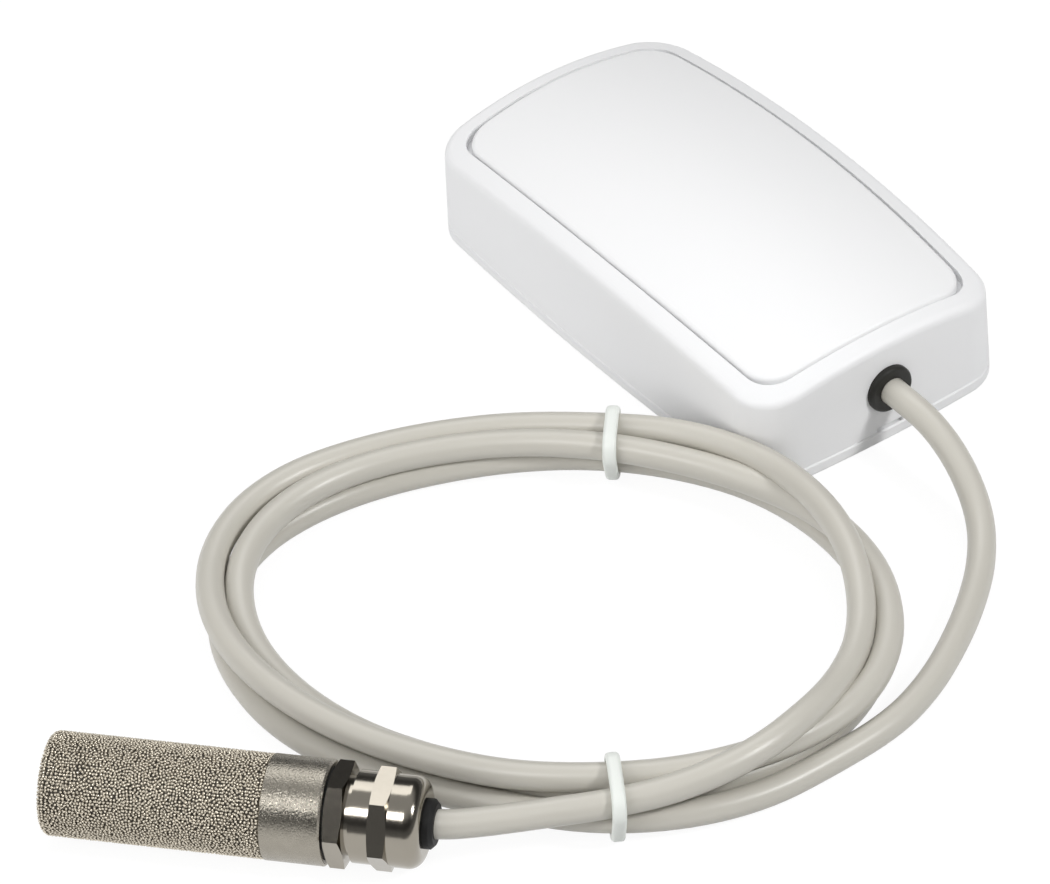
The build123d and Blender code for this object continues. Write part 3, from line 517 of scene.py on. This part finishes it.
# %% Finish the cable
jacket = grained("cable_jacket", (0.575, 0.553, 0.497), (0.545, 0.527, 0.472),
                 patch=60, fine=1500, rough=(0.3, 0.4), bump=0.05)
cable_curve.materials.append(jacket)
tie_plastic = grained("tie_plastic", (0.83, 0.86, 0.82), (0.8, 0.83, 0.79),
                      patch=200, fine=1500, rough=(0.36, 0.46), bump=0.05)
strap_rear.data.materials.append(tie_plastic)
strap_front.data.materials.append(tie_plastic)
dress(tie_plastic, "cable_stop")
print(jacket.name, "on", cable.name, "and", tie_plastic.name, "on", strap_rear.name, strap_front.name)

# %% [markdown]
# ## Plated gland and collar
# The gland is turned brass with a bright nickel plating, and the collar is plated over a sanded
# surface, so it glitters. Both could share one metal, but the collar's coarser bump breaks its
# reflections up.

# %% Finish the metal
gland_metal = grained("gland_metal", (0.36, 0.333, 0.284), (0.3, 0.277, 0.236),
                      patch=150, fine=1200, rough=(0.12, 0.2), bump=0.06, metallic=1.0)
collar_metal = grained("collar_metal", (0.39, 0.362, 0.31), (0.3, 0.277, 0.236),
                       patch=500, fine=3200, rough=(0.22, 0.34), bump=0.7, metallic=1.0, depth=0.12 * MM)
dress(gland_metal, "gland_body", "gland_nut")
dress(collar_metal, "probe_collar")

# %% [markdown]
# ## The metal of the cap
# The cap is made of small metal balls that were heated until they stuck together. Each ball's colour is
# painted: a painted highlight on its top, and painted shade on its sides towards the gaps. A mask from
# the shape's corners could darken the gaps, but here each ball will carry a number, how high a point lies
# on it, and the colour follows that number.

# %% Finish the balls
# Painted shade: the core's near-black colour stands for the shade deep in the pores between the balls.
pore_shade = grained("filter_pore_shade", (0.05, 0.044, 0.034), (0.1, 0.088, 0.07),
                patch=1500, fine=4000, rough=(0.6, 0.8), bump=0.4)
balls = grained("filter_balls", (0.97, 0.89, 0.74), (0.78, 0.71, 0.585),
                patch=1300, fine=5000, rough=(0.2, 0.3), bump=0.1, metallic=0.5)
CROWN = "crown"
# Painted shade: the sides of each ball towards the gaps take this dark colour, and its top keeps a painted
# highlight.
PAINTED_GAP_SHADE = (0.22, 0.188, 0.142, 1)
DARK_BELOW = -0.1
BRIGHT_ABOVE = 0.75
tree = balls.node_tree
shader = tree.nodes["Principled BSDF"]
bright = shader.inputs["Base Color"].links[0].from_socket
on_ball = tree.nodes.new("ShaderNodeAttribute")
on_ball.attribute_name = CROWN
highlight_share = tree.nodes.new("ShaderNodeMapRange")
highlight_share.inputs["From Min"].default_value = DARK_BELOW
highlight_share.inputs["From Max"].default_value = BRIGHT_ABOVE
painted_shade_mix = tree.nodes.new("ShaderNodeMix")
painted_shade_mix.data_type = "RGBA"
painted_shade_mix.inputs[MIX_FIRST].default_value = PAINTED_GAP_SHADE
tree.links.new(on_ball.outputs["Fac"], highlight_share.inputs["Value"])
tree.links.new(highlight_share.outputs["Result"], painted_shade_mix.inputs[MIX_SHARE])
tree.links.new(bright, painted_shade_mix.inputs[MIX_SECOND])
tree.links.new(painted_shade_mix.outputs[MIX_RESULT], shader.inputs["Base Color"])
print("balls are bright on top and dark in the gaps, by", len(tree.nodes), "nodes")

# %% [markdown]
# ## The core of the cap
# A bump map could suggest the grains, but the cap's rough outline needs real balls. Under them lies a
# core, thinner than the cap by two layers of balls, whose near-black colour is painted shade for the deep
# pores. It starts as a cylinder: the end that the collar hides is deleted, and the edge of the free end is
# bevelled to the cap's soft corner.

# %% Core of the cap
FILTER_RADIUS = 8.0 * MM
FILTER_ROUND = 0.8 * MM
CORE_SIDES = 96
CORNER_STEPS = 4
BALL_RADIUS = 0.25 * MM
OUTER_LIFT = 1.3 * BALL_RADIUS
core_inset = BALL_RADIUS + OUTER_LIFT
core_radius = FILTER_RADIUS - core_inset
core_length = FILTER_LENGTH - core_inset

bpy.ops.object.select_all(action="DESELECT")
bpy.ops.mesh.primitive_cylinder_add(vertices=CORE_SIDES, radius=core_radius, depth=core_length)
cap = bpy.context.object
cap.name = "sintered_cap"


def select_faces(piece, wanted):
    """Selects the faces of a piece that a test accepts, and nothing else."""
    for part in (*piece.data.vertices, *piece.data.edges):
        part.select = False
    for face in piece.data.polygons:
        face.select = wanted(face)


FACES_AN_END = 0.5
select_faces(cap, lambda face: face.normal.z < -FACES_AN_END)
bpy.ops.object.mode_set(mode="EDIT")
bpy.ops.mesh.select_mode(type="FACE")
bpy.ops.mesh.delete(type="FACE")
bpy.ops.object.mode_set(mode="OBJECT")
select_faces(cap, lambda face: face.normal.z > FACES_AN_END)
bpy.ops.object.mode_set(mode="EDIT")
bpy.ops.mesh.bevel(offset=FILTER_ROUND - BALL_RADIUS, segments=CORNER_STEPS, affect="EDGES")
bpy.ops.object.mode_set(mode="OBJECT")
bpy.ops.object.shade_smooth()
cap.data.materials.append(pore_shade)
print("core of the cap has", len(cap.data.polygons), "faces")

# %% [markdown]
# ## One ball
# Thousands of balls can't be placed by hand, so geometry nodes will scatter them, and the first nodes
# make the ball itself. A finely divided sphere would be rounder, but each ball is small and there are
# many, so it has few faces, and those that look at the core are left out, because they are never seen.

# %% One ball
BALL_DETAIL = 1
HIDDEN_BELOW = -0.6 * BALL_RADIUS
scatter = bpy.data.node_groups.new("scatter_balls", "GeometryNodeTree")
nodes, links = scatter.nodes, scatter.links
ball = nodes.new("GeometryNodeMeshIcoSphere")
ball.inputs["Radius"].default_value = BALL_RADIUS
ball.inputs["Subdivisions"].default_value = BALL_DETAIL
place = nodes.new("GeometryNodeInputPosition")
axes = nodes.new("ShaderNodeSeparateXYZ")
hidden = nodes.new("FunctionNodeCompare")
hidden.operation = "LESS_THAN"
hidden.inputs["B"].default_value = HIDDEN_BELOW
visible = nodes.new("GeometryNodeDeleteGeometry")
visible.domain = "FACE"
links.new(place.outputs["Position"], axes.inputs["Vector"])
links.new(axes.outputs["Z"], hidden.inputs["A"])
links.new(ball.outputs["Mesh"], visible.inputs["Geometry"])
links.new(hidden.outputs["Result"], visible.inputs["Selection"])

# Each ball carries how high a point lies on it, from -1 to 1, for its material's painted highlight and
# shade.
share = nodes.new("ShaderNodeMath")
share.operation = "DIVIDE"
share.inputs[1].default_value = BALL_RADIUS
marked = nodes.new("GeometryNodeStoreNamedAttribute")
marked.data_type = "FLOAT"
marked.domain = "POINT"
marked.inputs["Name"].default_value = CROWN
links.new(axes.outputs["Z"], share.inputs[0])
links.new(visible.outputs["Geometry"], marked.inputs["Geometry"])
links.new(share.outputs[0], marked.inputs["Value"])
print("a ball is", round(2 * BALL_RADIUS / MM, 2), "mm across, and stores", CROWN)

# %% [markdown]
# ## A layer of balls
# Points could be set out in rows, but sintered powder has no rows. So the core is swollen by a step,
# random points that keep their distance are spread over it, and each gets a ball of a slightly
# different size. The seed keeps the same points every time. All layers end in one join, together with
# the core.

# %% A layer of balls
BALL_SPACING = 0.44 * MM
POINTS_TRIED = 12
SMALLEST_BALL = 0.85
LARGEST_BALL = 1.0
socket(scatter, "Geometry", "INPUT", "NodeSocketGeometry")
socket(scatter, "Geometry", "OUTPUT", "NodeSocketGeometry")
group_in = nodes.new("NodeGroupInput")
group_out = nodes.new("NodeGroupOutput")
join = nodes.new("GeometryNodeJoinGeometry")
links.new(group_in.outputs[0], join.inputs["Geometry"])
links.new(join.outputs["Geometry"], group_out.inputs[0])


def scatter_layer(lift, seed):
    """Covers the core with balls whose middles lie a step above it."""
    normal = nodes.new("GeometryNodeInputNormal")
    step = nodes.new("ShaderNodeVectorMath")
    step.operation = "SCALE"
    step.inputs["Scale"].default_value = lift
    raised = nodes.new("GeometryNodeSetPosition")
    points = nodes.new("GeometryNodeDistributePointsOnFaces")
    points.distribute_method = "POISSON"
    points.inputs["Distance Min"].default_value = BALL_SPACING
    points.inputs["Density Max"].default_value = POINTS_TRIED / BALL_SPACING**2
    points.inputs["Seed"].default_value = seed
    size = nodes.new("FunctionNodeRandomValue")
    size.data_type = "FLOAT"
    size.inputs["Min"].default_value = SMALLEST_BALL
    size.inputs["Max"].default_value = LARGEST_BALL
    spread = nodes.new("GeometryNodeInstanceOnPoints")
    real = nodes.new("GeometryNodeRealizeInstances")
    smooth = nodes.new("GeometryNodeSetShadeSmooth")
    coat = nodes.new("GeometryNodeSetMaterial")
    coat.inputs["Material"].default_value = balls
    links.new(normal.outputs["Normal"], step.inputs["Vector"])
    links.new(step.outputs["Vector"], raised.inputs["Offset"])
    links.new(group_in.outputs[0], raised.inputs["Geometry"])
    links.new(raised.outputs["Geometry"], points.inputs["Mesh"])
    links.new(points.outputs["Points"], spread.inputs["Points"])
    links.new(points.outputs["Rotation"], spread.inputs["Rotation"])
    links.new(marked.outputs["Geometry"], spread.inputs["Instance"])
    links.new(size.outputs[1], spread.inputs["Scale"])
    links.new(spread.outputs["Instances"], real.inputs["Geometry"])
    links.new(real.outputs["Geometry"], smooth.inputs["Geometry"])
    links.new(smooth.outputs["Geometry"], coat.inputs["Geometry"])
    links.new(coat.outputs["Geometry"], join.inputs["Geometry"])


INNER_LIFT = 0.3 * BALL_RADIUS
scatter_layer(INNER_LIFT, seed=1)
scatter_layer(OUTER_LIFT, seed=2)
print("two layers of balls, by", len(nodes), "nodes")

# %% [markdown]
# ## The cap in place
# The nodes could stay live on the core, but the finished cap has to be one plain mesh, so the modifier
# is applied. The core was made upright at the origin. It is now turned to the probe's axis, moved to
# its middle, and its place is applied too.

# %% Place the cap
modifier = cap.modifiers.new("balls", "NODES")
modifier.node_group = scatter
bpy.ops.object.modifier_apply(modifier="balls")
middle = along_probe(core_inset + core_length / 2)
cap.matrix_world = Matrix.Translation(middle) @ probe_axis.to_track_quat("Z", "Y").to_matrix().to_4x4()
bpy.ops.object.transform_apply(location=True, rotation=True, scale=True)
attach(cap, "root")
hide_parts("sensor_filter")
print("sintered cap has", len(cap.data.polygons), "faces")

# %% [markdown]
# ## Inside the case and the probe
# Nothing inside shows, but the pieces are there for whoever opens the case, so each gets the finish it
# has on a real board: green laminate, black resin, tinned sheet, ivory sockets. They could all share
# one grey, but the recipe makes a finish in two lines, so there is no reason to.

# %% Finish the inner pieces
laminate = grained("board_laminate", (0.02, 0.16, 0.06), (0.03, 0.2, 0.08),
                   patch=120, fine=2500, rough=(0.3, 0.42), bump=0.1)
resin = grained("chip_resin", (0.02, 0.02, 0.02), (0.035, 0.035, 0.035),
                patch=300, fine=3000, rough=(0.5, 0.65), bump=0.2)
sheet = grained("contact_metal", (0.75, 0.74, 0.72), (0.68, 0.67, 0.64),
                patch=150, fine=2000, rough=(0.22, 0.34), bump=0.05, metallic=1.0)
can = grained("cell_can", (0.7, 0.7, 0.69), (0.63, 0.63, 0.62),
              patch=120, fine=2500, rough=(0.25, 0.38), bump=0.08, metallic=1.0)
holder = grained("holder_plastic", (0.03, 0.03, 0.03), (0.045, 0.045, 0.045),
                 patch=150, fine=2500, rough=(0.42, 0.55), bump=0.1)
ivory = grained("socket_plastic", (0.78, 0.74, 0.65), (0.74, 0.7, 0.6),
                patch=150, fine=2500, rough=(0.4, 0.52), bump=0.08)
cores = grained("core_insulation", (0.5, 0.09, 0.07), (0.42, 0.07, 0.06),
                patch=200, fine=2000, rough=(0.32, 0.42), bump=0.05)
potting = grained("potting_resin", (0.03, 0.03, 0.034), (0.045, 0.045, 0.05),
                  patch=200, fine=1500, rough=(0.2, 0.32), bump=0.05)
zinc = grained("screw_steel", (0.62, 0.62, 0.61), (0.55, 0.55, 0.53),
               patch=300, fine=2500, rough=(0.28, 0.4), bump=0.1, metallic=1.0)
drawn = grained("capacitor_can", (0.8, 0.8, 0.81), (0.74, 0.74, 0.75),
                patch=200, fine=2500, rough=(0.24, 0.34), bump=0.05, metallic=1.0)
dress(laminate, "main_board", "radio_module", "probe_board")
dress(resin, "microcontroller", "memory_chip", "humidity_sensor")
dress(sheet, "contact_positive", "contact_negative", "radio_shield", "antenna", "clock_crystal")
dress(can, "coin_cell")
dress(holder, "battery_holder")
dress(ivory, "probe_socket", "probe_plug")
dress(cores, "inner_cores", "probe_cores")
dress(potting, "potting_plug")
dress(zinc, "board_screws")
dress(drawn, "bulk_capacitor")

# %% [markdown]
# ## The floor
# The object lies on white paper. A curved backdrop is usual in a studio, but the camera looks down and
# sees only the ground, so a wide flat sheet is enough. It lies a hair below the object, so that no two
# faces share one place.

# %% Floor
bpy.ops.object.select_all(action="DESELECT")
FLOOR_SIZE = 6.0
FLOOR_DROP = 0.1 * MM
bpy.ops.mesh.primitive_plane_add(size=FLOOR_SIZE, location=(0, 0, -FLOOR_DROP))
floor = bpy.context.object
floor.name = "floor"
print("floor is", FLOOR_SIZE, "m wide")

# %% [markdown]
# ## White paper
# Lit paper alone would need so much light that the white case would burn out. So rays that come from
# the camera, a mirror or glass meet a floor that glows white by itself and takes a thin layer of the
# lamps' light on top, which keeps the soft shadow. All other rays meet plain pale paper.

# %% Finish the floor
PAPER_GREY = 0.58
SHADOW_GREY = 0.12
GLOW = 0.92


def seen_directly(tree):
    """1 for rays that come from the camera, a mirror or glass, so that they meet the plain background."""
    path = tree.nodes.new("ShaderNodeLightPath")
    first = tree.nodes.new("ShaderNodeMath")
    first.operation = "MAXIMUM"
    second = tree.nodes.new("ShaderNodeMath")
    second.operation = "MAXIMUM"
    tree.links.new(path.outputs["Is Camera Ray"], first.inputs[0])
    tree.links.new(path.outputs["Is Glossy Ray"], first.inputs[1])
    tree.links.new(first.outputs[0], second.inputs[0])
    tree.links.new(path.outputs["Is Transmission Ray"], second.inputs[1])
    return second.outputs[0]


floor_white = bpy.data.materials.new("floor_white")
floor_white.use_nodes = True
tree = floor_white.node_tree
tree.nodes.remove(tree.nodes["Principled BSDF"])
lit = tree.nodes.new("ShaderNodeBsdfDiffuse")
lit.inputs["Color"].default_value = (PAPER_GREY, PAPER_GREY, PAPER_GREY, 1)
thin = tree.nodes.new("ShaderNodeBsdfDiffuse")
thin.inputs["Color"].default_value = (SHADOW_GREY, SHADOW_GREY, SHADOW_GREY, 1)
glow = tree.nodes.new("ShaderNodeEmission")
glow.inputs["Color"].default_value = (1, 1, 1, 1)
glow.inputs["Strength"].default_value = GLOW
shown = tree.nodes.new("ShaderNodeAddShader")
choose = tree.nodes.new("ShaderNodeMixShader")
tree.links.new(thin.outputs[0], shown.inputs[0])
tree.links.new(glow.outputs[0], shown.inputs[1])
tree.links.new(seen_directly(tree), choose.inputs[0])
tree.links.new(lit.outputs[0], choose.inputs[1])
tree.links.new(shown.outputs[0], choose.inputs[2])
tree.links.new(choose.outputs[0], tree.nodes["Material Output"].inputs["Surface"])
floor.data.materials.append(floor_white)
print(floor_white.name, "glows at", GLOW)

# %% [markdown]
# ## The room
# The plastic could be lit by lamps alone, but polished metal shows the whole room. In a studio that is
# a pale sweep near the ground, dark walls above it and a lit ceiling. So the world's grey follows the
# height that a ray looks to: each row of the list is the sine of that height, and how bright the room
# is there.

# %% World
ROOM_LEVELS = [(0.0, 0.2), (0.2, 0.17), (0.4, 0.06), (0.55, 0.06), (0.98, 0.56)]
world = bpy.data.worlds.new("studio")
bpy.context.scene.world = world
world.use_nodes = True
tree = world.node_tree
ceiling = tree.nodes["Background"]
ceiling.inputs["Strength"].default_value = 1
direction = tree.nodes.new("ShaderNodeTexCoord")
axes = tree.nodes.new("ShaderNodeSeparateXYZ")
ramp = tree.nodes.new("ShaderNodeValToRGB")
ramp.color_ramp.interpolation = "EASE"
stops = ramp.color_ramp.elements
while len(stops) < len(ROOM_LEVELS):
    stops.new(1.0)
for stop, (height, level) in zip(stops, ROOM_LEVELS):
    stop.position = height
    stop.color = (level, level, level, 1)
tree.links.new(direction.outputs["Generated"], axes.inputs["Vector"])
tree.links.new(axes.outputs["Z"], ramp.inputs["Fac"])
tree.links.new(ramp.outputs["Color"], ceiling.inputs["Color"])
print("world is brightest overhead, at", ROOM_LEVELS[-1][1])

# %% [markdown]
# ## The lamps
# Five soft lamps stand round the object. One large lamp would be simpler, but the photograph shows a
# clear key from the right, a soft left side and narrow bright bands on the metal. Plastic and metal ask
# for different lamps, so some light only the plastic, and a small card shows only in the metal.

# %% Lamps
OBJECT_MIDDLE = Vector((-0.05, -0.03, 0.01))


def softbox(name, size, power, place, on_plastic=True, in_metal=True, tall=1.0):
    """A lamp that faces the middle of the object, and lights plastic, shows in metal, or both."""
    data = bpy.data.lights.new(name, "AREA")
    data.shape = "RECTANGLE"
    data.size = size
    data.size_y = size * tall
    data.energy = power
    lamp = bpy.data.objects.new(name, data)
    bpy.context.collection.objects.link(lamp)
    place = Vector(place)
    turn = (place - OBJECT_MIDDLE).to_track_quat("Z", "Y")
    lamp.matrix_world = Matrix.Translation(place) @ turn.to_matrix().to_4x4()
    lamp.visible_diffuse = on_plastic
    lamp.visible_glossy = in_metal
    print(name, "lamp,", power, "W,", round((place - OBJECT_MIDDLE).length, 2), "m away")


softbox("key", size=0.2, power=6.2, place=(0.375, -0.79, 0.77))
softbox("front", size=0.5, power=1.75, place=(-0.5, -0.68, 0.85), in_metal=False)
softbox("front_card", size=0.2, power=2.7, place=(-0.8, -0.335, 0.92), on_plastic=False, tall=1.5)
softbox("rear", size=0.55, power=2.2, place=(0.25, 0.45, 0.9))
softbox("left_fill", size=0.9, power=7.0, place=(-1.0, 0.1, 0.48), in_metal=False)

# %% [markdown]
# ## The end
# Last, the view layer is brought up to date.

# %% Update the view layer
bpy.context.view_layer.update()
